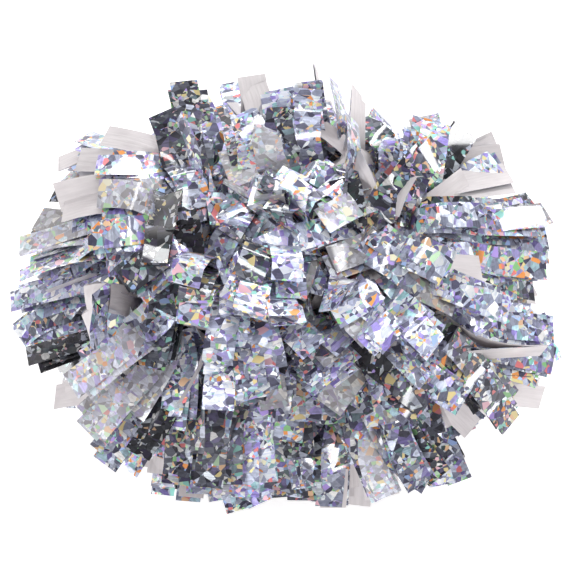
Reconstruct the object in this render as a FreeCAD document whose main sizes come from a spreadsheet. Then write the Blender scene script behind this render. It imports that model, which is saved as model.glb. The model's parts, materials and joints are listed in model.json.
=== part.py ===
"""Baton cheer pom: a plastic baton, two gathered stacks of fringed film, and the tufts of its strands.

Frame: X runs along the baton, Y from the front of the pom to its rear, Z is up. The origin is on the
surface that the pom lies on, under its middle. Angles round the baton are measured from straight up, over
the front, so that 0 is up, 90 is the front, 180 is down and 270 is the rear, where the hand goes in.
"""
import FreeCAD
import Part
import Sketcher
import math
import os

DIMENSIONS = [
    # name, value (mm or degrees)
    ("baton_height", 124),  # the baton's axis above the surface
    ("baton_radius", 8),
    ("baton_bore_radius", 6),
    ("baton_length", 144),
    ("groove_depth", 0.8),
    ("tie_spacing", 112),  # from one tie to the other
    ("header_width", 24),  # the uncut middle band of a fringed sheet
    ("header_layer", 1.4),
    ("layer_gap", 0.05),
    ("strap_width", 4.8),
    ("strap_thickness", 1.3),
    ("lock_width", 7.2),
    ("lock_depth", 5.6),
    ("lock_height", 4.6),
    ("lock_sink", 0.3),  # the flat underside of the lock starts this far into the strap
    ("tail_length", 5.6),
    ("tail_width", 4.4),
    ("tail_start", 1.0),  # above the bands, inside the lock
    ("lock_angle", 244),  # round the baton, between two tufts
    ("tape_thickness", 0.6),
    ("tape_cone", 3.6),  # the sloping part
    ("tape_length", 7.2),
    ("plug_stem", 14),
    ("plug_lead", 1.2),  # the stem's tapered start
    ("plug_taper", 0.6),
    ("plug_flange_radius", 11.5),
    ("plug_flange", 2.5),
    ("plug_dome", 3.5),
    ("root_offset", 8),  # from a tie to the roots of the tufts on each side of it
    ("knuckle_radius", 4),  # the rolled root that a tuft turns on
    ("knuckle_clearance", 0.3),
    ("root_width", 10),
    ("middle_width", 68),  # at a tuft's shoulder, along the baton
    ("middle_breadth", 80),  # at a tuft's shoulder, round the baton
    ("rear_width", 46),
    ("outer_width", 70),
    ("outer_breadth", 50),
    ("end_width", 56),
    ("end_breadth", 56),
    ("shoulder_share", 0.82),  # of the tuft's length
    ("tip_share", 0.72),  # of the shoulder's width
    ("top_length", 130),
    ("middle_length", 141),
    ("outer_length", 129),
    ("skirt_length", 146),
    ("bottom_length", 112),
    ("end_length", 118),
    ("outer_polar", 43),  # between an outer tuft and the baton's end
    ("rear_polar", 80),  # the same for the two tufts beside the hand's way in
    ("upper_angle", 45),
    ("skirt_angle", 131),
]
DOME = [(0.6, 0.78), (0.92, 0.45)]  # shares of a plug dome's height, and of its width there
SIDES = [("left", -1), ("right", 1)]

document = FreeCAD.newDocument("baton_pom")
sheet = document.addObject("Spreadsheet::Sheet", "Dimensions")
for row, (alias, value) in enumerate(DIMENSIONS, start=1):
    sheet.set(f"A{row}", alias)
    sheet.set(f"B{row}", str(value))
    sheet.setAlias(f"B{row}", alias)
document.recompute()
D = {alias: float(sheet.get(alias)) for alias, _ in DIMENSIONS}
nodes = []


def cell(text):
    """An expression in which every word after @ is a cell of the sheet."""
    return text.replace("@", "Dimensions.")


# ---- sketches ------------------------------------------------------------------------------------


def new_body(name):
    body = document.addObject("PartDesign::Body", name)
    body.Label = name
    return body


def new_sketch(body, name, plane, lift=None):
    """A sketch on one of the body's own origin planes, raised along the plane's normal by an expression."""
    sketch = body.newObject("Sketcher::SketchObject", name)
    support = next(f for f in body.Origin.OriginFeatures if f.Role == plane)
    sketch.AttachmentSupport = [(support, "")]
    sketch.MapMode = "FlatFace"
    if lift:
        sketch.setExpression("AttachmentOffset.Base.z", cell(lift))
    return sketch


def draw_circle(sketch, radius):
    edge = sketch.addGeometry(Part.Circle(FreeCAD.Vector(0, 0, 0), FreeCAD.Vector(0, 0, 1), 5), False)
    sketch.addConstraint(Sketcher.Constraint("Coincident", edge, 3, -1, 1))
    size = sketch.addConstraint(Sketcher.Constraint("Radius", edge, 5))
    sketch.setExpression(f"Constraints[{size}]", cell(radius))


def draw_rectangle(sketch, width, breadth):
    """A rectangle round the sketch's origin, its two sides given as expressions."""
    corners = [(-5, -5), (5, -5), (5, 5), (-5, 5)]
    points = [FreeCAD.Vector(x, y, 0) for x, y in corners]
    lines = [Part.LineSegment(a, b) for a, b in zip(points, points[1:] + points[:1])]
    edges = [sketch.addGeometry(line, False) for line in lines]
    for edge, after in zip(edges, edges[1:] + edges[:1]):
        sketch.addConstraint(Sketcher.Constraint("Coincident", edge, 2, after, 1))
    for edge, direction in zip(edges, ["Horizontal", "Vertical"] * 2):
        sketch.addConstraint(Sketcher.Constraint(direction, edge))
    sketch.addConstraint(Sketcher.Constraint("Symmetric", edges[0], 1, edges[2], 1, -1, 1))
    across = sketch.addConstraint(Sketcher.Constraint("DistanceX", edges[0], 1, edges[0], 2, 10))
    along = sketch.addConstraint(Sketcher.Constraint("DistanceY", edges[1], 1, edges[1], 2, 10))
    sketch.setExpression(f"Constraints[{across}]", cell(width))
    sketch.setExpression(f"Constraints[{along}]", cell(breadth))


def draw_profile(sketch, points):
    """A closed outline of straight edges through points given as expressions, none of them below 0."""
    rough = [FreeCAD.Vector(i + 1, (i * i) % 7 + 1, 0) for i in range(len(points))]
    lines = [Part.LineSegment(a, b) for a, b in zip(rough, rough[1:] + rough[:1])]
    edges = [sketch.addGeometry(line, False) for line in lines]
    for edge, after in zip(edges, edges[1:] + edges[:1]):
        sketch.addConstraint(Sketcher.Constraint("Coincident", edge, 2, after, 1))
    for edge, place in zip(edges, points):
        for kind, text in zip(("DistanceX", "DistanceY"), place):
            size = sketch.addConstraint(Sketcher.Constraint(kind, -1, 1, edge, 1, 1))
            sketch.setExpression(f"Constraints[{size}]", cell(text))


def revolve_about_x(body, sketch):
    turned = body.newObject("PartDesign::Revolution", body.Name + "_turned")
    turned.Profile = sketch
    turned.ReferenceAxis = (sketch, ["H_Axis"])
    turned.Angle = 360
    body.Tip = turned


def place(body, x=0.0, turned=False):
    """Sets a body on the baton's axis, turned half round the vertical for the left side."""
    turn = FreeCAD.Rotation(FreeCAD.Vector(0, 0, 1), 180 if turned else 0)
    body.Placement = FreeCAD.Placement(FreeCAD.Vector(x, 0, D["baton_height"]), turn)


# ---- what the hand holds -------------------------------------------------------------------------


def make_baton():
    """The tube, turned down a little where each stack of film is tied on."""
    body = new_body("baton_tube")
    sketch = new_sketch(body, "baton_profile", "XY_Plane")
    inner, outer = "@baton_bore_radius", "@baton_radius"
    floor = "@baton_radius - @groove_depth"
    half = "@baton_length / 2"
    # The profile starts at the left end, and its first coordinate is counted from there.
    outline = [("0", inner), ("0", outer)]
    for way in "-+":
        start = f"{half} {way} @tie_spacing / 2 - @header_width / 2"
        end = f"{start} + @header_width"
        outline += [(start, outer), (start, floor), (end, floor), (end, outer)]
    outline += [("@baton_length", outer), ("@baton_length", inner)]
    draw_profile(sketch, outline)
    revolve_about_x(body, sketch)
    place(body, x=-D["baton_length"] / 2)
    nodes.append(body)


def make_plug(side, sign):
    """The plug that closes the tube: a stem, a flange that the film can't slip over, and a low dome."""
    body = new_body(f"end_plug_{side}")
    sketch = new_sketch(body, f"plug_profile_{side}", "XY_Plane")
    seat, front = "@plug_stem", "@plug_stem + @plug_flange"
    outline = [
        ("0", "0"),
        ("0", "@baton_bore_radius - @plug_taper"),
        ("@plug_lead", "@baton_bore_radius"),
        (seat, "@baton_bore_radius"),
        (seat, "@plug_flange_radius"),
        (front, "@plug_flange_radius"),
    ]
    for height, width in DOME:
        outline.append((f"{front} + @plug_dome * {height}", f"@plug_flange_radius * {width}"))
    outline.append((f"{front} + @plug_dome", "0"))
    draw_profile(sketch, outline)
    revolve_about_x(body, sketch)
    place(body, x=sign * (D["baton_length"] / 2 - D["plug_stem"]), turned=sign < 0)
    nodes.append(body)


# ---- the tied middle of the film -----------------------------------------------------------------

HEADER_LAYERS = 5  # fringed sheets on each side, wrapped one over the other
HEADER_RADIUS = D["baton_radius"] - D["groove_depth"] + HEADER_LAYERS * D["header_layer"]


def make_header(side, sign, layer):
    """The uncut band of one fringed sheet, rolled round the baton over the bands of the sheets inside it."""
    body = new_body(f"sheet_band_{side}_{layer + 1}")
    sketch = new_sketch(body, f"band_section_{side}_{layer + 1}", "YZ_Plane")
    inner = f"@baton_radius - @groove_depth + {layer} * @header_layer"
    draw_circle(sketch, inner)
    draw_circle(sketch, f"{inner} + @header_layer - @layer_gap")
    pad = body.newObject("PartDesign::Pad", f"band_pad_{side}_{layer + 1}")
    pad.Profile = sketch
    pad.Midplane = True
    pad.setExpression("Length", cell("@header_width"))
    body.Tip = pad
    place(body, x=sign * D["tie_spacing"] / 2)
    nodes.append(body)


def make_cable_tie(side, sign):
    """A cable tie: the strap round the bands, its lock, and the cut tail that stands out of the lock."""
    inside = f"@baton_radius - @groove_depth + {HEADER_LAYERS} * @header_layer"
    # The tie's own frame: Z along the baton, X out through the lock.
    centre = FreeCAD.Vector(sign * D["tie_spacing"] / 2, 0, D["baton_height"])
    around = math.radians(D["lock_angle"])
    out = FreeCAD.Vector(0, -math.sin(around), math.cos(around))
    axis = FreeCAD.Vector(1, 0, 0)
    frame = FreeCAD.Placement(centre, FreeCAD.Rotation(out, axis.cross(out), axis, "ZXY"))
    rings = []
    for name, radius in (("outer", f"{inside} + @strap_thickness"), ("inner", inside)):
        ring = document.addObject("Part::Cylinder", f"strap_{name}_{side}")
        ring.setExpression("Radius", cell(radius))
        ring.setExpression("Height", cell("@strap_width"))
        foot = FreeCAD.Vector(0, 0, -D["strap_width"] / 2)
        ring.Placement = frame * FreeCAD.Placement(foot, FreeCAD.Rotation())
        rings.append(ring)
    strap = document.addObject("Part::Cut", f"strap_{side}")
    strap.Base, strap.Tool = rings
    pieces = [strap]
    for name, start, height, depth, width in (
        ("lock", "lock_sink", "@lock_height", "@lock_depth", "@lock_width"),
        ("tail", "tail_start", "@tail_length", "@strap_thickness", "@tail_width"),
    ):
        box = document.addObject("Part::Box", f"{name}_{side}")
        box.setExpression("Length", cell(height))
        box.setExpression("Width", cell(depth))
        box.setExpression("Height", cell(width))
        document.recompute()
        corner = FreeCAD.Vector(HEADER_RADIUS + D[start], -box.Width.Value / 2, -box.Height.Value / 2)
        box.Placement = frame * FreeCAD.Placement(corner, FreeCAD.Rotation())
        pieces.append(box)
    whole = document.addObject("Part::MultiFuse", f"cable_tie_{side}")
    whole.Shapes = pieces
    whole.Label = f"cable_tie_{side}"
    nodes.append(whole)


def make_tape(side, sign):
    """The tape that binds the film's edge to the baton, a cone from the bands down to the grip."""
    body = new_body(f"binding_tape_{side}")
    sketch = new_sketch(body, f"tape_profile_{side}", "XY_Plane")
    top = f"@baton_radius - @groove_depth + {HEADER_LAYERS} * @header_layer - @tape_thickness"
    outline = [
        ("0", "@baton_radius"),
        ("@tape_length", "@baton_radius"),
        ("@tape_length", "@baton_radius + @tape_thickness"),
        ("@tape_cone", "@baton_radius + @tape_thickness"),
        ("0", top),
    ]
    draw_profile(sketch, outline)
    revolve_about_x(body, sketch)
    edge = D["tie_spacing"] / 2 - D["header_width"] / 2
    place(body, x=sign * edge, turned=sign > 0)
    nodes.append(body)


# ---- the tufts of strands ------------------------------------------------------------------------

ROOT_RADIUS = HEADER_RADIUS + D["knuckle_radius"] + D["knuckle_clearance"]
INNER_ROOT = D["tie_spacing"] / 2 - D["root_offset"]  # from the middle of the grip, along the baton
OUTER_ROOT = D["tie_spacing"] / 2 + D["root_offset"]
BATON_TIP = D["baton_length"] / 2 + D["plug_flange"] + D["plug_dome"]
END_ROOT = BATON_TIP + D["knuckle_radius"] + D["knuckle_clearance"]

# name: angle round the baton, angle to the baton's end, sizes, does it lie on the surface
MIDDLE_SIZES = ("middle_length", "middle_width", "middle_breadth")
SKIRT_SIZES = ("skirt_length", "middle_width", "middle_breadth")
MIDDLE_RING = {
    "top": (0, 90, ("top_length", "middle_width", "middle_breadth"), False),
    "upper_front": (D["upper_angle"], 90, MIDDLE_SIZES, False),
    "front": (90, 90, MIDDLE_SIZES, False),
    "lower_front": (D["skirt_angle"], 90, SKIRT_SIZES, True),
    "bottom": (180, 90, ("bottom_length", "middle_width", "middle_breadth"), True),
    "lower_rear": (360 - D["skirt_angle"], 90, SKIRT_SIZES, True),
    "rear": (270, D["rear_polar"], ("middle_length", "rear_width", "middle_breadth"), False),
    "upper_rear": (360 - D["upper_angle"], 90, MIDDLE_SIZES, False),
}
OUTER_SIZES = ("outer_length", "outer_width", "outer_breadth")
END_SIZES = ("end_length", "end_width", "end_breadth")
OUTER_NAMES = ["top", "upper_front", "lower_front", "bottom", "lower_rear", "upper_rear"]


def list_tufts(side, sign):
    """Every tuft of one side: its name, place (sign, root, angle, polar), sizes, and if it is laid."""
    tufts = []
    for name, (angle, polar, sizes, laid) in MIDDLE_RING.items():
        tufts.append((f"tuft_{side}_{name}", (sign, INNER_ROOT, angle, polar), sizes, laid))
    step = 360 / len(OUTER_NAMES)
    for i, name in enumerate(OUTER_NAMES):
        place_of = (sign, OUTER_ROOT, i * step, D["outer_polar"])
        tufts.append((f"tuft_{side}_outer_{name}", place_of, OUTER_SIZES, name == "bottom"))
    tufts.append((f"tuft_{side}_end", (sign, END_ROOT, 0, 0), END_SIZES, False))
    return tufts


def tuft_frame(sign, root_x, angle, polar):
    """The tuft's root, the way it points, and the axis it turns on, which swings it towards +X."""
    around, out = math.radians(angle), math.radians(polar)
    radial = FreeCAD.Vector(0, -math.sin(around), math.cos(around))
    along = FreeCAD.Vector(sign * math.cos(out), 0, 0) + radial * math.sin(out)
    on_end = polar == 0
    swing = FreeCAD.Vector(0, 1, 0) if on_end else along.cross(FreeCAD.Vector(1, 0, 0)).normalize()
    centre = FreeCAD.Vector(sign * root_x, 0, D["baton_height"])
    return centre + radial * (0 if on_end else ROOT_RADIUS), along, swing


def make_tuft(name, place_of, sizes, laid):
    """One tuft: a rolled root, a body that widens to a shoulder, and a blunter tip."""
    length, width, breadth = sizes
    body = new_body(name + ("_whole" if laid else ""))
    roll = new_sketch(body, name + "_root", "XZ_Plane")
    draw_circle(roll, "@knuckle_radius")
    knuckle = body.newObject("PartDesign::Pad", name + "_knuckle")
    knuckle.Profile = roll
    knuckle.Midplane = True
    knuckle.setExpression("Length", cell("@root_width"))
    sections = [
        ("0", "@knuckle_radius * 2", "@root_width"),
        (f"@{length} * @shoulder_share", f"@{width}", f"@{breadth}"),
        (f"@{length}", f"@{width} * @tip_share", f"@{breadth} * @tip_share"),
    ]
    sketches = []
    for i, (lift, across, around) in enumerate(sections):
        sketch = new_sketch(body, f"{name}_section_{i + 1}", "XY_Plane", lift)
        draw_rectangle(sketch, across, around)
        sketches.append(sketch)
    document.recompute()
    loft = body.newObject("PartDesign::AdditiveLoft", name + "_body")
    loft.Profile = sketches[0]
    loft.Sections = sketches[1:]
    loft.Ruled = True
    body.Tip = loft
    root, along, swing = tuft_frame(*place_of)
    body.Placement = FreeCAD.Placement(root, FreeCAD.Rotation(swing.cross(along), swing, along, "ZXY"))
    if not laid:
        nodes.append(body)
        return
    trimmed = document.addObject("Part::Cut", name)
    trimmed.Base, trimmed.Tool = body, surface
    trimmed.Label = name
    nodes.append(trimmed)


def make_surface():
    """A block below the surface that the pom lies on, larger than the pom. It only trims the laid tufts."""
    side, height = 600, 200
    block = document.addObject("Part::Box", "surface_block")
    block.Length, block.Width, block.Height = side, side, height
    block.Placement.Base = FreeCAD.Vector(-side / 2, -side / 2, -height)
    return block


# ---- build, check and write ----------------------------------------------------------------------

surface = make_surface()
make_baton()
for side, sign in SIDES:
    make_plug(side, sign)
    for layer in range(HEADER_LAYERS):
        make_header(side, sign, layer)
    make_cable_tie(side, sign)
    make_tape(side, sign)
    for tuft in list_tufts(side, sign):
        make_tuft(*tuft)
document.recompute()

for item in document.Objects:
    if {"Invalid", "Error"} & set(item.State):
        raise RuntimeError(f"{item.Name} failed: {item.State}")
os.makedirs("parts", exist_ok=True)
whole = FreeCAD.BoundBox()
volume = 0.0
for node in nodes:
    if node.Shape.isNull() or not node.Shape.isValid() or not node.Shape.Solids:
        raise RuntimeError(f"{node.Label} has no valid solid")
    node.Shape.exportStep(f"parts/{node.Label}.step")
    whole.add(node.Shape.optimalBoundingBox())
    volume += node.Shape.Volume
print(f"{len(nodes)} nodes, {volume / 1e6:.2f} litres")
for axis in "XYZ":
    print(f"{axis} {getattr(whole, axis + 'Min'):.1f} to {getattr(whole, axis + 'Max'):.1f}")
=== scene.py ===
"""The looks of a baton cheer pom: about two thousand strands of holographic film round its baton."""
import json
import math

import bpy
import numpy as np
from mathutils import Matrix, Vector


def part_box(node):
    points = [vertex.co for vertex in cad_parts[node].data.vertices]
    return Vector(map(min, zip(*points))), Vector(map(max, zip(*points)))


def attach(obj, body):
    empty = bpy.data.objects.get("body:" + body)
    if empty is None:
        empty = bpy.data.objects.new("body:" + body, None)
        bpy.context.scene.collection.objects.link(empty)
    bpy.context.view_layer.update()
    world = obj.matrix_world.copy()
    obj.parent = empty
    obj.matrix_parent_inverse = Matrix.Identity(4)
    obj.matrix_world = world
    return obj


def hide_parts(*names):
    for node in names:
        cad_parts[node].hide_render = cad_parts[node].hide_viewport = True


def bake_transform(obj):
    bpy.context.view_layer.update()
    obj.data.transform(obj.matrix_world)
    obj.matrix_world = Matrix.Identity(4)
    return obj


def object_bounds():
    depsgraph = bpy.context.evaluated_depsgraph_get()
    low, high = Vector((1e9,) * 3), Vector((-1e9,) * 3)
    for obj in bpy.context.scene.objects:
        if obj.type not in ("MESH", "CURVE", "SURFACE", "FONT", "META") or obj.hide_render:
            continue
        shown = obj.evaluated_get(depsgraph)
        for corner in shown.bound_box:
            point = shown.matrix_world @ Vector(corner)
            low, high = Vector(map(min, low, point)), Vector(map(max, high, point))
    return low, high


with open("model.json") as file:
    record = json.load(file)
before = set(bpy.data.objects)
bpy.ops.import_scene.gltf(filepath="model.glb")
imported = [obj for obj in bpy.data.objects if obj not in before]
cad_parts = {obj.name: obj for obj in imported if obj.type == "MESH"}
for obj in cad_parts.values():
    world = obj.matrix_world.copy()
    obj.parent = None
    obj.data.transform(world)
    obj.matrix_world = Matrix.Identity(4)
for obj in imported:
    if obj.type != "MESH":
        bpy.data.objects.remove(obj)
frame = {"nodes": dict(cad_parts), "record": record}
cad_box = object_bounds()
chance = np.random.default_rng(20)

# ---- sizes, in metres, and places from the frame ---------------------------------------------------------

STRAND_LENGTH = 0.152
STRAND_WIDTH = 0.019
ROOT_WIDTH = 0.62  # share of the strand's width where it is gathered at its root
FILM = 0.00012  # thicker than real film, so that each strand is a closed body
BENDS = 12  # steps along a strand
COLUMNS = 2  # steps across it
FLOOR_GAP = 0.0003
FLOOR_LAYER = 0.004  # what would sink through the floor is pressed into this height
PALM_WIDTH, PALM_HEIGHT = 0.034, 0.025  # half sizes of the hand's way in
CORE_GAP = 0.0015  # least room round the bands and the end plugs
UP = np.array([0.0, 0.0, 1.0])
ALONG = np.array([1.0, 0.0, 0.0])
SIDES = {"left": -1.0, "right": 1.0}


def middle(node):
    low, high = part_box(node)
    return np.array((Vector(low) + Vector(high)) / 2)


BATON = middle("baton_tube")
AXIS_HEIGHT = BATON[2]
TIE_X = middle("cable_tie_right")[0]
BAND_LOW, BAND_HIGH = (np.array(corner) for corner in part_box("sheet_band_right_5"))
BAND_RADIUS = (BAND_HIGH[2] - BAND_LOW[2]) / 2
BAND_HALF = (BAND_HIGH[0] - BAND_LOW[0]) / 2
CORE_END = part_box("end_plug_right")[1][0] + 0.002
# The ball's half sizes about the baton's middle.
BALL = np.array([0.97 * cad_box[1][0], cad_box[1][1], cad_box[1][2] - AXIS_HEIGHT])
TUFTS = sorted(name for name in frame["nodes"] if name.startswith("tuft_"))
TUFT_AIM = {}
for tuft in TUFTS:
    side = SIDES[tuft.split("_")[1]]
    aim = middle(tuft) - np.array([side * TIE_X, 0, AXIS_HEIGHT])
    TUFT_AIM[tuft] = (side, aim / np.linalg.norm(aim))


# ---- vectors ---------------------------------------------------------------------------------------------


def unit(v):
    v = np.asarray(v, float)
    return v / np.maximum(np.linalg.norm(v, axis=-1, keepdims=True), 1e-9)


def turned(v, axis, angle):
    """v turned about a unit axis by an angle in radians."""
    cosine, sine = math.cos(angle), math.sin(angle)
    return v * cosine + np.cross(axis, v) * sine + axis * np.dot(axis, v) * (1 - cosine)


def on_ball(longitude, latitude, depth=1.0):
    """A point of the ball, and the way out of it; longitude 0 is the right end and 90 the rear."""
    lon, lat = math.radians(longitude), math.radians(latitude)
    way = np.array([math.cos(lat) * math.cos(lon), math.cos(lat) * math.sin(lon), math.sin(lat)])
    point = BALL * way * depth
    return point + [0, 0, AXIS_HEIGHT], unit(way / BALL)


# ---- one strand ------------------------------------------------------------------------------------------


def hermite(start, end, start_way, end_way, reach, steps):
    t = np.linspace(0, 1, steps + 1)[:, None]
    return (
        (2 * t**3 - 3 * t**2 + 1) * start
        + (t**3 - 2 * t**2 + t) * reach * start_way
        + (3 * t**2 - 2 * t**3) * end
        + (t**3 - t**2) * reach * end_way
    )


def run_of(points):
    return np.concatenate([[0], np.cumsum(np.linalg.norm(np.diff(points, axis=0), axis=1))])


def strand_path(start, end, start_way, end_way, length):
    """A smooth line of a given length between two points, as BENDS even steps."""
    chord = end - start
    span = np.linalg.norm(chord)
    if span > length * 0.985:
        end = start + chord * length * 0.985 / span
    low, high = 0.0, 6 * length
    for _ in range(16):
        reach = (low + high) / 2
        points = hermite(start, end, start_way, end_way, reach, 28)
        if run_of(points)[-1] > length:
            high = reach
        else:
            low = reach
    run = run_of(points)
    even = np.linspace(0, run[-1], BENDS + 1)
    return np.stack([np.interp(even, run, points[:, k]) for k in range(3)], axis=1)


def ribbon(path, root_across, tip_across, crease):
    """The points of a ribbon on a path, COLUMNS + 1 across; its width turns from one direction to another."""
    way = unit(np.gradient(path, axis=0))
    share = np.linspace(0, 1, len(path))[:, None]
    if np.dot(root_across, tip_across) < 0:
        root_across = -root_across
    ease = np.clip(share * 1.5, 0, 1)
    ease = ease * ease * (3 - 2 * ease)
    across = root_across * (1 - ease) + tip_across * ease
    across = unit(across - way * np.sum(across * way, axis=1, keepdims=True))
    face = np.cross(way, across)
    wide = STRAND_WIDTH * (ROOT_WIDTH + (1 - ROOT_WIDTH) * np.clip(share / 0.3, 0, 1))
    columns = []
    for column in np.linspace(-0.5, 0.5, COLUMNS + 1):
        lift = crease * np.sin(math.pi * share) * (1 - 4 * column**2)
        columns.append(path + across * wide * column + face * lift)
    return np.stack(columns, axis=1)


def settle(points):
    """Lays what would pass through the surface along it, parts what would cross the hand's way in, and keeps
    the rest clear of the bands and the end plugs."""
    height = points[..., 2]
    pressed = FLOOR_LAYER * np.exp(np.minimum(height / FLOOR_LAYER - 1, 0))
    points[..., 2] = FLOOR_GAP + np.where(height < FLOOR_LAYER, pressed, height)
    behind = np.clip(points[..., 1] / 0.03, 0, 1)
    x, z = points[..., 0] / PALM_WIDTH, (points[..., 2] - AXIS_HEIGHT) / PALM_HEIGHT
    near = np.sqrt(x**2 + z**2) + 1e-6
    apart = (near**4 + behind**4) ** 0.25 / near
    points[..., 0] *= apart
    points[..., 2] = AXIS_HEIGHT + (points[..., 2] - AXIS_HEIGHT) * apart
    radius = np.hypot(points[..., 1], points[..., 2] - AXIS_HEIGHT) + 1e-6
    beside = (abs(points[..., 0]) > TIE_X - BAND_HALF) & (abs(points[..., 0]) < CORE_END)
    outward = np.where(beside, np.maximum((BAND_RADIUS + CORE_GAP) / radius, 1), 1)
    points[..., 1] *= outward
    points[..., 2] = AXIS_HEIGHT + (points[..., 2] - AXIS_HEIGHT) * outward
    return points


# ---- sheaves of strands ----------------------------------------------------------------------------------


# Painted reflection: the lightness of the pale, dark and black looks stands in for what a strand's mirror face
# reflects. Pale stands for bright light, and dark and black for dark surroundings; each strand's values also
# vary at random.
LOOKS = {  # strength of colour, lightness, haze
    "shards": (0.5, 0.6, 0.0),
    "bright": (0.95, 0.8, 0.0),
    "pale": (0.3, 1.1, 0.0),
    "dark": (0.6, 0.14, 0.0),
    "black": (0.1, 0.02, 0.0),
    "hazy": (0.6, 0.95, 0.5),
    "smoky": (0.4, 0.4, 0.45),
    "plain": (0.2, 0.7, 0.0),
}
MIXTURE = ["shards"] * 9 + ["bright"] * 3 + ["pale"] * 3 + ["dark"] * 5 + ["black"] + ["smoky"] * 2 + ["hazy"]


def sheaf(
    longitude,
    latitude,
    aim=None,
    heading=0,
    droop=None,
    roll=0,
    count=8,
    fan=0.5,
    look=None,
    depth=1.0,
    low=None,
    tuft=None,
):
    """The strands of one sheaf, as (tuft, points, look).

    Angles are in degrees. The tips point to the compass angle aim, or straight outwards turned by heading;
    droop is how far they point down, and roll the twist of the film about its length. The sheaf's front strands
    have the given look, and those behind them a mixture. A low sheaf lies at that height.
    """
    tip, out = on_ball(longitude, latitude, depth)
    if low is not None:
        axis_x = 0.7 * np.clip(tip[0], -TIE_X, TIE_X)
        way = unit([tip[0] - axis_x, tip[1] * 1.2, 0])
        reach = math.sqrt((STRAND_LENGTH + 0.006) ** 2 - (AXIS_HEIGHT - low) ** 2)
        tip, out = np.array([axis_x, 0, low]) + way * reach * depth, UP
    side = 1.0 if tip[0] + chance.normal(0, 0.012) > 0 else -1.0
    if aim is not None and abs(tip[0]) < 0.05 and abs(math.cos(math.radians(aim))) > 0.5:
        side = -math.copysign(1.0, math.cos(math.radians(aim)))
    if tuft:
        side = TUFT_AIM[tuft][0]
    band = np.array([side * TIE_X, 0, AXIS_HEIGHT])
    inward = tip[0] * side < TIE_X
    if aim is None:
        level = np.array([tip[0] - np.clip(tip[0], -TIE_X, TIE_X), tip[1], 0])
        aim = math.degrees(math.atan2(level[1], level[0] + 1e-6)) + heading
    if droop is None:
        droop = 16 + 14 * chance.random()
    turn, drop = math.radians(aim), math.radians(droop)
    tip_way = np.array([math.cos(turn) * math.cos(drop), math.sin(turn) * math.cos(drop), -math.sin(drop)])
    skyward = unit(out * 0.6 + UP * 0.8)
    beneath = latitude < -15 or low is not None and low < 0.003 + 0.006 * chance.random()
    seen_from = -UP if beneath else skyward
    made = []
    for k in range(count):
        share = k / max(count - 1, 1)
        front = k < 1 + count / 5
        spread = chance.uniform(-1, 1) * fan * (0.25 + share)
        stray = not front and chance.random() < 0.12
        twist = roll + chance.normal(0, 4 if front else 9) + (chance.normal(0, 45) if stray else 0)
        swing = spread * 18 + (chance.normal(0, 18) if stray else 0)
        way = turned(tip_way, skyward, math.radians(swing))
        face = unit(skyward - way * np.dot(skyward, way))
        tip_across = turned(np.cross(face, way), way, math.radians(twist))
        stagger = 0.004 - (0.008 if front else 0.03) * chance.random() ** 1.5
        end = tip + tip_across * spread * STRAND_WIDTH * 1.7 - out * (share * 0.0022 * count) + way * stagger
        radial = end - band
        radial[0] = 0
        if np.linalg.norm(radial) < 0.012:
            radial = np.array([0, chance.normal(), chance.normal()])
        radial = turned(unit(radial), ALONG, math.radians(chance.normal(0, 14)))
        root = band + radial * (BAND_RADIUS + chance.uniform(0.0005, 0.003))
        root = root + ALONG * side * BAND_HALF * (-0.8 if inward else 0.8) * chance.uniform(0.7, 1.1)
        root_way = unit(radial + ALONG * side * (-0.25 if inward else 0.5))
        length = STRAND_LENGTH * chance.uniform(0.975, 1.0)
        path = strand_path(root, end, root_way, way, length)
        crease = chance.choice([0, 0.0008, -0.0008, 0.002, -0.002]) * chance.random()
        points = settle(ribbon(path, np.cross(ALONG, radial), tip_across, crease))
        middle_way = unit(points[8, 1] - band)
        facing = np.cross(points[-1, 2] - points[-1, 0], points[-1, 1] - points[-3, 1])
        alike = look and look != "plain" and chance.random() < 0.5
        own_look = look if look and front or alike else chance.choice(MIXTURE)
        if look == "plain":
            plain_share = 0.25
        elif look or latitude > 50:
            plain_share = 0
        else:
            plain_share = 0.13 if depth > 0.93 else 0.03
        if not (front and look) and chance.random() < plain_share:
            own_look = "plain"
        if (np.dot(facing, seen_from) < 0) != (own_look == "plain"):
            points = points[:, ::-1]
        own = [name for name in TUFTS if TUFT_AIM[name][0] == side]
        nearest = max(own, key=lambda name: np.dot(TUFT_AIM[name][1], middle_way))
        made.append((tuft or nearest, points, own_look))
    return made


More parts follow.
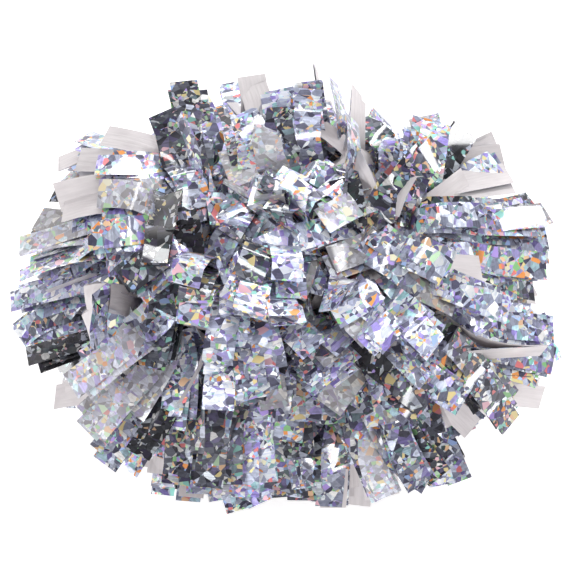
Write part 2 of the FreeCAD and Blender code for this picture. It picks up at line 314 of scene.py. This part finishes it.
# The sheaves that lie outermost on the crown and the front. Each row is the place of its tips on the ball,
# the way they point, their droop and the film's twist, the number of strands and how they fan, and the front
# strands' look.
CROWN = [
    (119, 44, 103, 0, 10, 7, 0.3, "dark"),
    (137, 56, 112, 0, -10, 5, 0.4, "dark"),
    (150, 46, 166, 5, 10, 3, 0.3, "plain"),
    (148, 35, 152, 10, 20, 6, 0.5, "bright"),
    (160, 45, 172, 10, -5, 3, 0.5, "plain"),
    (156, 30, 200, 15, 10, 4, 0.5, "plain"),
    (166, 52, 180, 5, 5, 6, 0.5, "bright"),
    (178, 54, 178, 8, -8, 5, 0.4, "hazy"),
    (179, 43, 186, 20, 10, 4, 0.5, "plain"),
    (-164, 52, 185, 10, 0, 8, 0.4, "bright"),
    (181, 28, 190, 10, 22, 9, 0.5, "hazy"),
    (-170, 30, 200, 10, 28, 8, 0.8, "bright"),
    (-166, 22, 195, 5, 20, 9, 0.7, "pale"),
    (-152, 19, 199, 0, 25, 6, 0.4, "black"),
    (-138, 38, -70, 40, 60, 3, 0.6, "plain"),
    (-144, 53, 212, 22, 0, 7, 0.4, "dark"),
    (-143, 60, -100, 25, 20, 3, 0.2, "black"),
    (-137, 62, -92, 30, 15, 3, 0.2, "black"),
    (-118, 54, -96, 50, 0, 4, 0.3, "bright"),
    (-137, 25, 214, 20, 5, 6, 0.4, "hazy"),
    (-131, 14, 226, 15, 10, 7, 0.6, "hazy"),
    (-127, 5, 233, 10, 0, 6, 0.4, "shards"),
    (-119, 17, 240, 0, 15, 4, 0.3, "black"),
    (-105, 38, -94, 33, 0, 8, 0.25, "pale"),
    (-97, 42, -84, 30, 10, 6, 0.3, "shards"),
    (-112, 10, -102, 25, 5, 8, 0.6, "dark"),
    (-104, 12, -94, 20, -5, 6, 0.4, "dark"),
    (-101, 8, -84, 20, -15, 4, 0.2, "hazy"),
    (-97, 10, -88, 25, 10, 6, 0.5, "bright"),
    (-90, 4, -90, 25, 0, 9, 0.6, "dark"),
    (-84, 6, -84, 20, 0, 6, 0.6, "shards"),
    (-72, 4, -64, 12, 0, 5, 0.2, "hazy"),
    (-66, 6, -58, 20, -5, 9, 0.8, "shards"),
    (-60, 4, -45, 15, 15, 6, 0.4, "dark"),
    (-42, 10, -40, 45, 0, 7, 0.4, "dark"),
    (-33, 6, -5, 5, 45, 3, 0.4, "plain"),
    (-22, 20, -4, 10, 0, 8, 0.4, "pale"),
    (-12, 34, 0, 10, 5, 10, 0.5, "bright"),
    (-4, 30, 4, 10, 5, 9, 0.6, "shards"),
    (4, 33, 8, 10, -10, 8, 0.5, "bright"),
    (15, 42, 15, 5, -10, 4, 0.5, "plain"),
    (20, 42, 28, 0, 5, 5, 0.4, "bright"),
    (28, 37, 28, 0, 35, 3, 0.2, "plain"),
    (24, 39, 12, 5, 20, 3, 0.3, "plain"),
    (20, 60, 48, 10, 30, 6, 0.4, "dark"),
    (38, 54, 80, 5, 0, 7, 0.5, "bright"),
    (32, 47, 60, 0, 25, 3, 0.3, "black"),
    (-5, 73, -72, 10, 50, 3, 0.3, "plain"),
    (73, 64, 135, 5, 10, 3, 0.3, "plain"),
    (62, 61, 88, 0, 55, 4, 0.5, "plain"),
    (74, 57, 104, 0, 55, 2, 0.2, "shards"),
    (82, 46, 92, 0, 75, 2, 0.1, "plain"),
    (84, 59, 86, 5, 10, 7, 0.4, "shards"),
    (94, 61, 77, 8, 0, 6, 0.2, "pale"),
    (103, 56, 112, 0, -5, 3, 0.4, "plain"),
    (113, 53, 127, 0, 45, 2, 0.2, "plain"),
    (165, 77, 140, 10, 55, 3, 0.4, "smoky"),
    (-165, 74, 186, 8, 0, 5, 0.4, "bright"),
    (-45, 80, -150, 5, 0, 6, 0.3, "hazy"),
    (-124, 66, 201, 12, 0, 8, 0.25, "pale"),
    (-108, 73, 203, 10, 0, 6, 0.25, "pale"),
    (-104, 59, -112, 22, 0, 7, 0.3, "bright"),
    (-92, 58, -98, 20, -5, 6, 0.3, "pale"),
    (-68, 69, -160, 5, 10, 5, 0.3, "smoky"),
    (-76, 60, -116, 30, 60, 2, 0.2, "pale"),
    (-80, 42, -50, 30, 0, 7, 0.3, "pale"),
    (-62, 50, -30, 30, 0, 6, 0.4, "pale"),
    (-52, 44, -30, 30, 5, 6, 0.3, "pale"),
    (-72, 42, -60, 30, 0, 5, 0.3, "pale"),
    (-60, 32, -30, 15, 0, 5, 0.5, "dark"),
    (-52, 30, -25, 15, 10, 5, 0.6, "shards"),
    (-27, 14, -10, 10, 10, 6, 0.4, "shards"),
    (-28, 21, 5, 5, 80, 3, 0.2, "plain"),
    (-10, 68, -110, 30, 55, 2, 0.2, "plain"),
    (-15, 71, -40, 15, 0, 6, 0.5, "bright"),
    (-35, 55, -25, 20, 5, 7, 0.6, "shards"),
    (-30, 40, -15, 15, -5, 8, 0.5, "pale"),
    (-8, 52, 0, 12, -5, 8, 0.5, "shards"),
    (5, 62, 15, 8, 0, 5, 0.5, "bright"),
]

# Each layer's depth, number of sheaves and sine of its lowest latitude; the underside's have their height
# in the third place.
LAYERS = [(0.72, 50, -0.6), (0.87, 66, -0.55), (1.0, 80, -0.5)]
UNDERSIDE = [(0.35, 10, 0.004), (0.75, 16, 0.005), (0.98, 20, 0.007), (1.0, 20, 0.025), (1.0, 20, 0.05)]
FEWEST = 12  # strands in a tuft


def ball_of_sheaves():
    """Sheaves spread evenly over the ball, on spirals from its top to its underside, and those of CROWN."""
    strands = []
    golden = 180 * (3 - math.sqrt(5))
    for layer, (depth, number, low) in enumerate(LAYERS):
        for k in range(number):
            height = 1 - (k + 0.5) / number * (1 - low)
            latitude = math.degrees(math.asin(height)) + chance.normal(0, 4)
            longitude = k * golden + layer * 50 + chance.normal(0, 6)
            to_front = -math.sin(math.radians(longitude)) * math.cos(math.radians(latitude))
            if layer == 2 and latitude > 4 + 20 * (to_front < 0) and height * 0.88 + to_front * 0.47 > -0.1:
                continue
            strands += sheaf(
                longitude,
                latitude,
                heading=chance.normal(0, 18),
                roll=chance.normal(0, 16),
                count=5 + int(chance.integers(0, 4)),
                fan=0.35 + 0.65 * chance.random(),
                depth=depth + chance.normal(0, 0.03),
            )
    for k in range(16):
        strands += sheaf(
            -90 + chance.normal(0, 9),
            -30 + 7.5 * k + chance.normal(0, 4),
            heading=chance.normal(0, 30),
            roll=chance.normal(0, 16),
            count=6,
            fan=0.8,
            depth=chance.uniform(0.66, 0.86),
        )
    for depth, number, low in UNDERSIDE:
        for k in range(number):
            strands += sheaf(
                360 / number * k + chance.normal(0, 8),
                0,
                heading=chance.normal(0, 16),
                droop=chance.uniform(0, 8) + 260 * low * chance.random(),
                roll=chance.normal(0, 5 + 300 * low),
                count=6,
                fan=0.9,
                depth=depth * chance.uniform(0.86, 1.04),
                low=low + abs(chance.normal(0, 0.005)),
            )
    for longitude, latitude, aim, droop, roll, count, fan, look in CROWN:
        depth = 1.03 if latitude < 62 else 0.88
        shape = {"droop": droop, "roll": roll, "count": count, "fan": fan}
        strands += sheaf(longitude, latitude, aim, look=look, depth=depth, **shape)
    for tuft in TUFTS:
        if sum(strand[0] == tuft for strand in strands) < FEWEST:
            side, aim = TUFT_AIM[tuft]
            way = aim / BALL + [side * TIE_X / BALL[0] * 0.8, 0, 0]
            strands += sheaf(
                math.degrees(math.atan2(way[1], way[0])),
                math.degrees(math.atan2(way[2], math.hypot(way[0], way[1]))),
                count=FEWEST,
                depth=0.9,
                tuft=tuft,
            )
    return strands


# ---- materials -------------------------------------------------------------------------------------------


class Value:
    """An output of a node. Arithmetic on it adds Math nodes."""

    def __init__(self, finish, socket):
        self.finish = finish
        self.socket = socket

    def math(self, operation, *values):
        return self.finish.node("ShaderNodeMath", {"operation": operation}, *values)

    def __add__(self, other):
        return self.math("ADD", self, other)

    def __sub__(self, other):
        return self.math("SUBTRACT", self, other)

    def __rsub__(self, other):
        return self.math("SUBTRACT", other, self)

    def __mul__(self, other):
        return self.math("MULTIPLY", self, other)

    def __gt__(self, other):
        return self.math("GREATER_THAN", self, other)

    def __lt__(self, other):
        return self.math("LESS_THAN", self, other)

    __radd__ = __add__
    __rmul__ = __mul__


class Finish:
    """A material on a Principled shader."""

    def __init__(self, name, **constants):
        self.material = bpy.data.materials.new(name)
        self.material.use_nodes = True
        self.tree = self.material.node_tree
        self.shader = self.tree.nodes["Principled BSDF"]
        self.surface(**constants)

    def surface(self, **values):
        for name, value in values.items():
            self.feed(self.shader.inputs[name.replace("_", " ").title().replace("Ior", "IOR")], value)

    def feed(self, socket, value):
        if isinstance(value, Value):
            self.tree.links.new(value.socket, socket)
        else:
            socket.default_value = value

    def node(self, kind, settings, *values, output=0, **named):
        """Adds a node: its settings, then its inputs in order or by name. Stops are a ramp's."""
        node = self.tree.nodes.new(kind)
        for name, value in settings.items():
            if name == "stops":
                ramp = node.color_ramp
                while len(ramp.elements) < len(value):
                    ramp.elements.new(1)
                for element, (position, colour) in zip(ramp.elements, value):
                    element.position = position
                    element.color = (*colour, 1)
            elif name == "interpolation":
                node.color_ramp.interpolation = value
            else:
                setattr(node, name, value)
        for socket, value in zip(node.inputs, values):
            self.feed(socket, value)
        for name, value in named.items():
            self.feed(node.inputs[name.replace("_", " ").title()], value)
        return Value(self, node.outputs[output])

    def mix(self, factor, first, second):
        """A colour between two colours."""
        node = self.tree.nodes.new("ShaderNodeMix")
        node.data_type = "RGBA"
        for socket, value in ((node.inputs[0], factor), (node.inputs[6], first), (node.inputs[7], second)):
            self.feed(socket, (*value, 1) if isinstance(value, tuple) and len(value) == 3 else value)
        return Value(self, node.outputs[2])

    def scale(self, colour, factor):
        """A colour made lighter or darker."""
        node = self.tree.nodes.new("ShaderNodeVectorMath")
        node.operation = "SCALE"
        self.feed(node.inputs[0], colour)
        self.feed(node.inputs["Scale"], factor)
        return Value(self, node.outputs[0])

    def split(self, colour):
        node = self.tree.nodes.new("ShaderNodeSeparateColor")
        self.feed(node.inputs[0], colour)
        return [Value(self, output) for output in node.outputs]

    def parts(self, vector):
        """The three numbers of a vector."""
        node = self.tree.nodes.new("ShaderNodeSeparateXYZ")
        self.feed(node.inputs[0], vector)
        return [Value(self, output) for output in node.outputs]

    def join(self, x, y, z):
        return self.node("ShaderNodeCombineXYZ", {}, x, y, z)


# Painted highlights: the palest stops, from 0.57 to 0.72, show shards as catching the light.
SILVER_SHARDS = [
    (0.00, (0.08, 0.08, 0.14)),
    (0.10, (0.20, 0.21, 0.30)),
    (0.24, (0.33, 0.36, 0.49)),
    (0.42, (0.48, 0.52, 0.66)),
    (0.57, (0.65, 0.70, 0.86)),
    (0.66, (0.84, 0.91, 1.00)),
    (0.72, (1.00, 1.00, 1.00)),
    (0.77, (0.24, 0.20, 0.50)),
    (0.84, (0.44, 0.40, 0.76)),
    (0.91, (0.52, 0.74, 0.86)),
    (0.96, (0.22, 0.38, 0.42)),
]
BRIGHT_SHARDS = [
    (0.00, (1.00, 0.40, 0.12)),
    (0.09, (1.00, 0.66, 0.42)),
    (0.19, (0.92, 0.28, 0.30)),
    (0.28, (1.00, 0.84, 0.42)),
    (0.38, (0.98, 0.95, 0.70)),
    (0.46, (0.34, 0.70, 0.32)),
    (0.55, (0.62, 0.88, 0.60)),
    (0.64, (0.95, 0.58, 0.68)),
    (0.73, (0.34, 0.74, 0.68)),
    (0.82, (0.52, 0.38, 0.88)),
    (0.91, (0.42, 0.58, 0.95)),
]


SILVER_RAMP = {"interpolation": "CONSTANT", "stops": SILVER_SHARDS}
BRIGHT_RAMP = {"interpolation": "CONSTANT", "stops": BRIGHT_SHARDS}
FLAT_NOISE = {"noise_dimensions": "2D"}
EASED = {"interpolation_type": "SMOOTHSTEP"}


def shard_film():
    """Silver film with a shattered-glass hologram: sharp-edged shards, each with its own colour and tilt.

    The point attribute tone gives each strand its own strength of colour, lightness and haze, and along how
    far out a point is. The lightness of the pale, dark and black looks is painted reflection, and the colour
    is darkened towards the roots as painted shade.
    """
    finish = Finish("holographic_film", coat_roughness=0.06, coat_ior=1.65)
    flat = finish.node("ShaderNodeUVMap", {"uv_map": "film"})
    tone = finish.node("ShaderNodeAttribute", {"attribute_name": "tone"}, output=1)
    colourful, light, haze = finish.split(tone)
    along = finish.node("ShaderNodeAttribute", {"attribute_name": "along"}, output=2)
    turn = {"location": (3.7, 8.1, 0), "rotation": (0, 0, 0.7), "scale": (1.0, 1.35, 1.0)}
    moved = finish.node("ShaderNodeMapping", {}, flat, **turn)
    voronoi = {"voronoi_dimensions": "2D", "feature": "F1"}
    large = finish.split(finish.node("ShaderNodeTexVoronoi", voronoi, output=1, vector=flat, scale=1.1))
    crossed = finish.split(finish.node("ShaderNodeTexVoronoi", voronoi, output=1, vector=moved, scale=1.6))
    small = finish.split(finish.node("ShaderNodeTexVoronoi", voronoi, output=1, vector=flat, scale=3.5))
    broken = crossed[1] > 0.55
    pick = large[0] + crossed[0] + small[0] * broken
    pick = pick.math("FRACT", pick)
    second = large[1] + crossed[2] + small[1] * broken
    second = second.math("FRACT", second)
    third = large[2] + crossed[1] + small[2] * broken
    third = third.math("FRACT", third)
    silver = finish.node("ShaderNodeValToRGB", SILVER_RAMP, pick)
    bright = finish.node("ShaderNodeValToRGB", BRIGHT_RAMP, third)
    patch = finish.node("ShaderNodeTexNoise", FLAT_NOISE, vector=flat, scale=0.45, detail=1.0)
    crossed_tone = finish.node("ShaderNodeTexVoronoi", voronoi, output=1, vector=moved, scale=4.6)
    coloured = second > 1.13 - colourful * 0.34 - (patch > 0.53) * 0.12 - broken * 0.13
    stretched = finish.node("ShaderNodeMapping", {}, flat, scale=(0.35, 7.0, 1.0))
    streak = finish.node("ShaderNodeTexNoise", FLAT_NOISE, vector=stretched, scale=1.0, detail=2.0)
    creased = finish.node("ShaderNodeTexNoise", FLAT_NOISE, vector=moved, scale=0.35, detail=0.0) > 0.53
    brushed = finish.node("ShaderNodeTexNoise", FLAT_NOISE, vector=stretched, scale=2.2, detail=3.0)
    # Painted reflection: in the creased patches, the colour goes lighter and darker along the same streaks that
    # the bump raises there. It stands in for the streaked reflections of crinkled film; elsewhere the brushed
    # lines are the film's own pattern.
    shade = (0.5 + streak) * creased + (0.7 + 0.6 * brushed) * (1 - creased)
    shade = shade * (0.82 + 0.36 * finish.split(crossed_tone)[0])
    # Painted shade: the colour darkens towards the strands' roots, down to a tenth there. It stands in for the
    # shade deep among the strands.
    depth = finish.node("ShaderNodeMapRange", EASED, along, 0.15, 0.72, 0.1, 1.0)
    # Painted highlight: glint picks the palest shards, which are kept bright on the dark strands as painted
    # glints.
    glint = (pick > 0.6) * (pick < 0.77)
    # Painted reflection: the strand's lightness scales the shards' colour, so the pale, dark and black looks
    # paint in what the film mirrors.
    silver = finish.scale(silver, shade * (0.05 + 1.42 * light + 0.6 * glint * (0.8 - light)))
    bright = finish.scale(bright, 0.55 + 0.6 * light)
    colour = finish.mix(coloured, silver, bright)
    veil = haze * (0.7 + 0.4 * patch)
    colour = finish.mix(veil, colour, (0.63, 0.60, 0.57))
    colour = finish.scale(colour, depth)
    finish.surface(coat_weight=1 - 0.7 * haze)
    finish.surface(base_color=colour, roughness=0.3 + second * 0.2 + haze * 0.2, metallic=0.62 - haze * 0.42)
    tilt = 0.16
    slope = finish.join(0.5 + (second - 0.5) * tilt, 0.5 + (third - 0.5) * tilt, 1.0)
    facet = finish.node("ShaderNodeNormalMap", {"uv_map": "film"}, 1.0, slope)
    wave = finish.node("ShaderNodeTexNoise", FLAT_NOISE, vector=flat, scale=0.3, detail=0.0)
    height = streak * creased * 0.6 + wave * 0.4
    bump = finish.node("ShaderNodeBump", {}, strength=0.05, distance=0.003, height=height, normal=facet)
    finish.surface(normal=bump)
    return finish.material


def plain_film():
    """The film's plain metallised back."""
    finish = Finish("plain_silver_film")
    flat = finish.node("ShaderNodeUVMap", {"uv_map": "film"})
    along = finish.node("ShaderNodeAttribute", {"attribute_name": "along"}, output=2)
    stretched = finish.node("ShaderNodeMapping", {}, flat, scale=(3.0, 0.35, 1.0))
    streak = finish.node("ShaderNodeTexNoise", FLAT_NOISE, vector=stretched, scale=1.4, detail=3.0)
    cloud = finish.node("ShaderNodeTexNoise", FLAT_NOISE, vector=flat, scale=0.6, detail=2.0)
    colour = finish.mix(cloud, (0.64, 0.60, 0.62), (0.78, 0.75, 0.76))
    # Painted shade: the back's colour darkens towards the strands' roots, down to a quarter there. It stands in
    # for the shade deep among the strands.
    depth = finish.node("ShaderNodeMapRange", EASED, along, 0.12, 0.5, 0.25, 1.0)
    # Painted shading: the colour also goes lighter and darker along the same streaks that the bump raises. It
    # stands in for how the crinkles catch the light.
    shade = depth * (0.86 + 0.28 * streak)
    finish.surface(base_color=finish.scale(colour, shade))
    finish.surface(roughness=0.42 + streak * 0.2, metallic=0.15 + cloud * 0.2)
    finish.surface(normal=finish.node("ShaderNodeBump", {}, strength=0.2, distance=0.0015, height=streak))
    return finish.material


def moulded_plastic(name, colour, grain=900.0, roughness=0.42, ribs=None, depth=0.4):
    """Plastic with a fine mould grain; ribs is a function from the finish and the place to a wave of ribs."""
    finish = Finish(name)
    place = finish.node("ShaderNodeTexCoord", {}, output=3)
    mottle = finish.node("ShaderNodeTexNoise", {}, vector=place, scale=45.0, detail=3.0)
    grit = finish.node("ShaderNodeTexNoise", {}, vector=place, scale=grain, detail=2.0)
    height = grit * 0.4
    if ribs:
        height = height + ribs(finish, place)
    dark = tuple(0.86 * c for c in colour)
    finish.surface(base_color=finish.mix(mottle, dark, colour), roughness=roughness - 0.08 + mottle * 0.16)
    finish.surface(normal=finish.node("ShaderNodeBump", {}, strength=depth, distance=0.0004, height=height))
    return finish.material


def grip_rings(finish, place):
    """Shallow rings, 3 mm apart, along the baton."""
    x = finish.parts(place)[0]
    wave = x * (2 * math.pi / 0.003)
    return wave.math("SINE", wave)


def strap_teeth(finish, place):
    """The ladder of teeth round a tie's strap, one to every 4 degrees."""
    x, y, z = finish.parts(place)
    angle = y.math("ARCTAN2", y, z - AXIS_HEIGHT) * 90
    return angle.math("SINE", angle) > 0.2


def tape_wrinkles(finish, place):
    """Creases that run round the tape."""
    stretched = finish.node("ShaderNodeMapping", {}, place, scale=(400.0, 30.0, 30.0))
    return finish.node("ShaderNodeTexNoise", {}, vector=stretched, scale=1.0, detail=2.0)


def wrapped_film():
    """The sheets' uncut bands: the same film pulled tight round the baton, pleated lengthways."""
    finish = Finish("wrapped_film", coat_weight=1.0, coat_roughness=0.08)
    place = finish.node("ShaderNodeTexCoord", {}, output=3)
    shards = finish.split(finish.node("ShaderNodeTexVoronoi", {}, output=1, vector=place, scale=130.0))
    silver = finish.node("ShaderNodeValToRGB", SILVER_RAMP, shards[0])
    bright = finish.node("ShaderNodeValToRGB", BRIGHT_RAMP, shards[2])
    stretched = finish.node("ShaderNodeMapping", {}, place, scale=(40.0, 500.0, 500.0))
    pleat = finish.node("ShaderNodeTexNoise", {}, vector=stretched, scale=1.0, detail=2.0)
    # Painted shade and highlight: the colour is scaled by the same pleats that the bump raises, darker in their
    # hollows and lighter on their ridges.
    colour = finish.scale(finish.mix(shards[1] > 0.85, silver, bright), 0.4 + 0.8 * pleat)
    finish.surface(base_color=colour, roughness=0.22 + 0.25 * pleat, metallic=0.5 + 0.3 * shards[1])
    finish.surface(normal=finish.node("ShaderNodeBump", {}, strength=0.4, distance=0.001, height=pleat))
    return finish.material


# ---- making the pieces -----------------------------------------------------------------------------------


def deselect():
    bpy.ops.object.select_all(action="DESELECT")


def flat_strand():
    """One strand as it is slit from the sheet, unit-sized; every strand of the pom is a copy of it."""
    deselect()
    bpy.ops.mesh.primitive_grid_add(x_subdivisions=COLUMNS, y_subdivisions=BENDS, size=1)
    blank = bpy.context.object
    bpy.ops.object.shade_smooth()
    blank.data.uv_layers[0].name = "film"
    return blank


def bent_copy(blank, points, look):
    """A copy of the flat strand with its points moved on to a ribbon's."""
    strand = blank.copy()
    strand.data = blank.data.copy()
    bpy.context.collection.objects.link(strand)
    mesh = strand.data
    flat = np.empty(len(mesh.vertices) * 3)
    mesh.vertices.foreach_get("co", flat)
    flat = flat.reshape(-1, 3)
    column = np.rint((flat[:, 0] + 0.5) * COLUMNS).astype(int)
    row = np.rint((flat[:, 1] + 0.5) * BENDS).astype(int)
    mesh.vertices.foreach_set("co", points[row, column].ravel())
    uv = np.empty(len(mesh.loops) * 2)
    layer = mesh.uv_layers["film"].data
    layer.foreach_get("uv", uv)
    uv = uv.reshape(-1, 2) * [STRAND_WIDTH * 100, STRAND_LENGTH * 100] + chance.uniform(-90, 90, 2)
    layer.foreach_set("uv", uv.ravel())
    tone = np.tile(np.array(LOOKS[look]) * chance.uniform(0.7, 1.3, 3), (len(mesh.vertices), 1))
    mesh.attributes.new("tone", "FLOAT_VECTOR", "POINT").data.foreach_set("vector", tone.ravel())
    mesh.attributes.new("along", "FLOAT", "POINT").data.foreach_set("value", row / BENDS)
    return strand


def join_strands(name, strands):
    """All the strands of a tuft as one piece of closed film."""
    deselect()
    for strand in strands:
        strand.select_set(True)
    bpy.context.view_layer.objects.active = strands[0]
    bpy.ops.object.join()
    piece = bpy.context.object
    piece.name = piece.data.name = name
    return piece


def make_tufts():
    film, back = shard_film(), plain_film()
    blank = flat_strand()
    by_tuft = {name: [] for name in TUFTS}
    for tuft, points, look in ball_of_sheaves():
        by_tuft[tuft].append(bent_copy(blank, points, look))
    for tuft, strands in by_tuft.items():
        piece = join_strands("film_" + tuft, strands)
        piece.data.materials.append(film)
        piece.data.materials.append(back)
        shell = piece.modifiers.new("film", "SOLIDIFY")
        shell.thickness = FILM
        shell.offset = 0
        shell.material_offset = 1
        shell.use_even_offset = False
        bpy.ops.object.modifier_apply(modifier=shell.name)
        bpy.ops.object.shade_smooth_by_angle(angle=math.radians(50))
        body = body_of(tuft)
        if body == "handle":
            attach(piece, body)
        else:
            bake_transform(piece)
        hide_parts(tuft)
        outermost = f"sheet_band_{tuft.split('_')[1]}_5"
    bpy.data.objects.remove(blank)


def body_of(node):
    return next(body for body, nodes in frame["record"]["behaviour"]["bodies"].items() if node in nodes)


def dress(nodes, material):
    for node in nodes:
        mesh = frame["nodes"][node].data
        mesh.materials.clear()
        mesh.materials.append(material)


def make_fittings():
    names = list(frame["nodes"])
    looks = {
        "baton": moulded_plastic("baton_plastic", (0.86, 0.86, 0.88), ribs=grip_rings),
        "end_plug": moulded_plastic("plug_plastic", (0.8, 0.8, 0.83), roughness=0.36),
        "cable_tie": moulded_plastic("tie_nylon", (0.88, 0.87, 0.82), ribs=strap_teeth),
        "binding": moulded_plastic("binding_tape", (0.92, 0.92, 0.93), ribs=tape_wrinkles, depth=0.7),
        "sheet_band": wrapped_film(),
    }
    for start, material in looks.items():
        dress([name for name in names if name.startswith(start)], material)


# ---- floor, light and camera -----------------------------------------------------------------------------


def make_stage():
    deselect()
    bpy.ops.mesh.primitive_plane_add(size=6)
    floor = bpy.context.object
    floor.name = "floor"
    finish = Finish("pale_floor", base_color=(0.95, 0.95, 0.95, 1), roughness=0.9)
    finish.surface(emission_color=(1, 1, 1, 1), emission_strength=0.5)
    floor.data.materials.append(finish.material)


def add_softbox(name, place, size, power):
    light = bpy.data.lights.new(name, "AREA")
    light.shape = "RECTANGLE"
    light.size, light.size_y = size
    light.energy = power
    lamp = bpy.data.objects.new(name, light)
    bpy.context.collection.objects.link(lamp)
    lamp.location = place
    lamp.rotation_euler = (Vector((0, 0, 0.12)) - Vector(place)).to_track_quat("-Z", "Y").to_euler()


# The studio's greys from the level (0) to straight up (1), and its strip lights: name, place, size, power.
STUDIO_GREYS = [(0.0, 0.95), (0.2, 0.9), (0.4, 0.34), (0.6, 0.13), (0.95, 0.15), (1.0, 0.6)]
STRIPS = [
    ("overhead_strip", (0.1, 0.02, 1.4), (1.1, 0.07), 3.2),
    ("left_strip", (-1.1, 0.0, 0.95), (0.9, 0.14), 4.2),
    ("right_strip", (1.15, -0.1, 0.95), (0.9, 0.12), 5),
    ("rear_strip", (0.2, 1.2, 1.0), (1.2, 0.12), 7),
    ("front_strip", (-0.3, -1.3, 0.7), (1.0, 0.1), 4.5),
]


def make_light():
    world = bpy.data.worlds.new("studio")
    bpy.context.scene.world = world
    world.use_nodes = True
    tree = world.node_tree
    background = tree.nodes["Background"]
    place = tree.nodes.new("ShaderNodeTexCoord")
    split = tree.nodes.new("ShaderNodeSeparateXYZ")
    ramp = tree.nodes.new("ShaderNodeValToRGB")
    tree.links.new(place.outputs["Generated"], split.inputs[0])
    tree.links.new(split.outputs["Z"], ramp.inputs[0])
    tree.links.new(ramp.outputs[0], background.inputs["Color"])
    while len(ramp.color_ramp.elements) < len(STUDIO_GREYS):
        ramp.color_ramp.elements.new(1)
    for element, (position, grey) in zip(ramp.color_ramp.elements, STUDIO_GREYS):
        element.position = position
        element.color = (grey * 1.03, grey, grey * 0.99, 1)
    background.inputs["Strength"].default_value = 1.5
    for strip in STRIPS:
        add_softbox(*strip)


def make_camera():
    elevation = math.radians(62)
    distance = 0.76
    target = Vector((0.0, 0.002, 0.125))
    back = Vector((0, -math.cos(elevation), math.sin(elevation)))
    lens = bpy.data.cameras.new("camera")
    lens.lens = 65.5
    lens.sensor_width = 36
    camera = bpy.data.objects.new("camera", lens)
    bpy.context.collection.objects.link(camera)
    camera.location = target + back * distance
    camera.rotation_euler = (-back).to_track_quat("-Z", "Y").to_euler()
    bpy.context.scene.camera = camera
    bpy.context.scene.view_settings.view_transform = "Standard"


make_tufts()
make_fittings()
make_stage()
make_light()
make_camera()
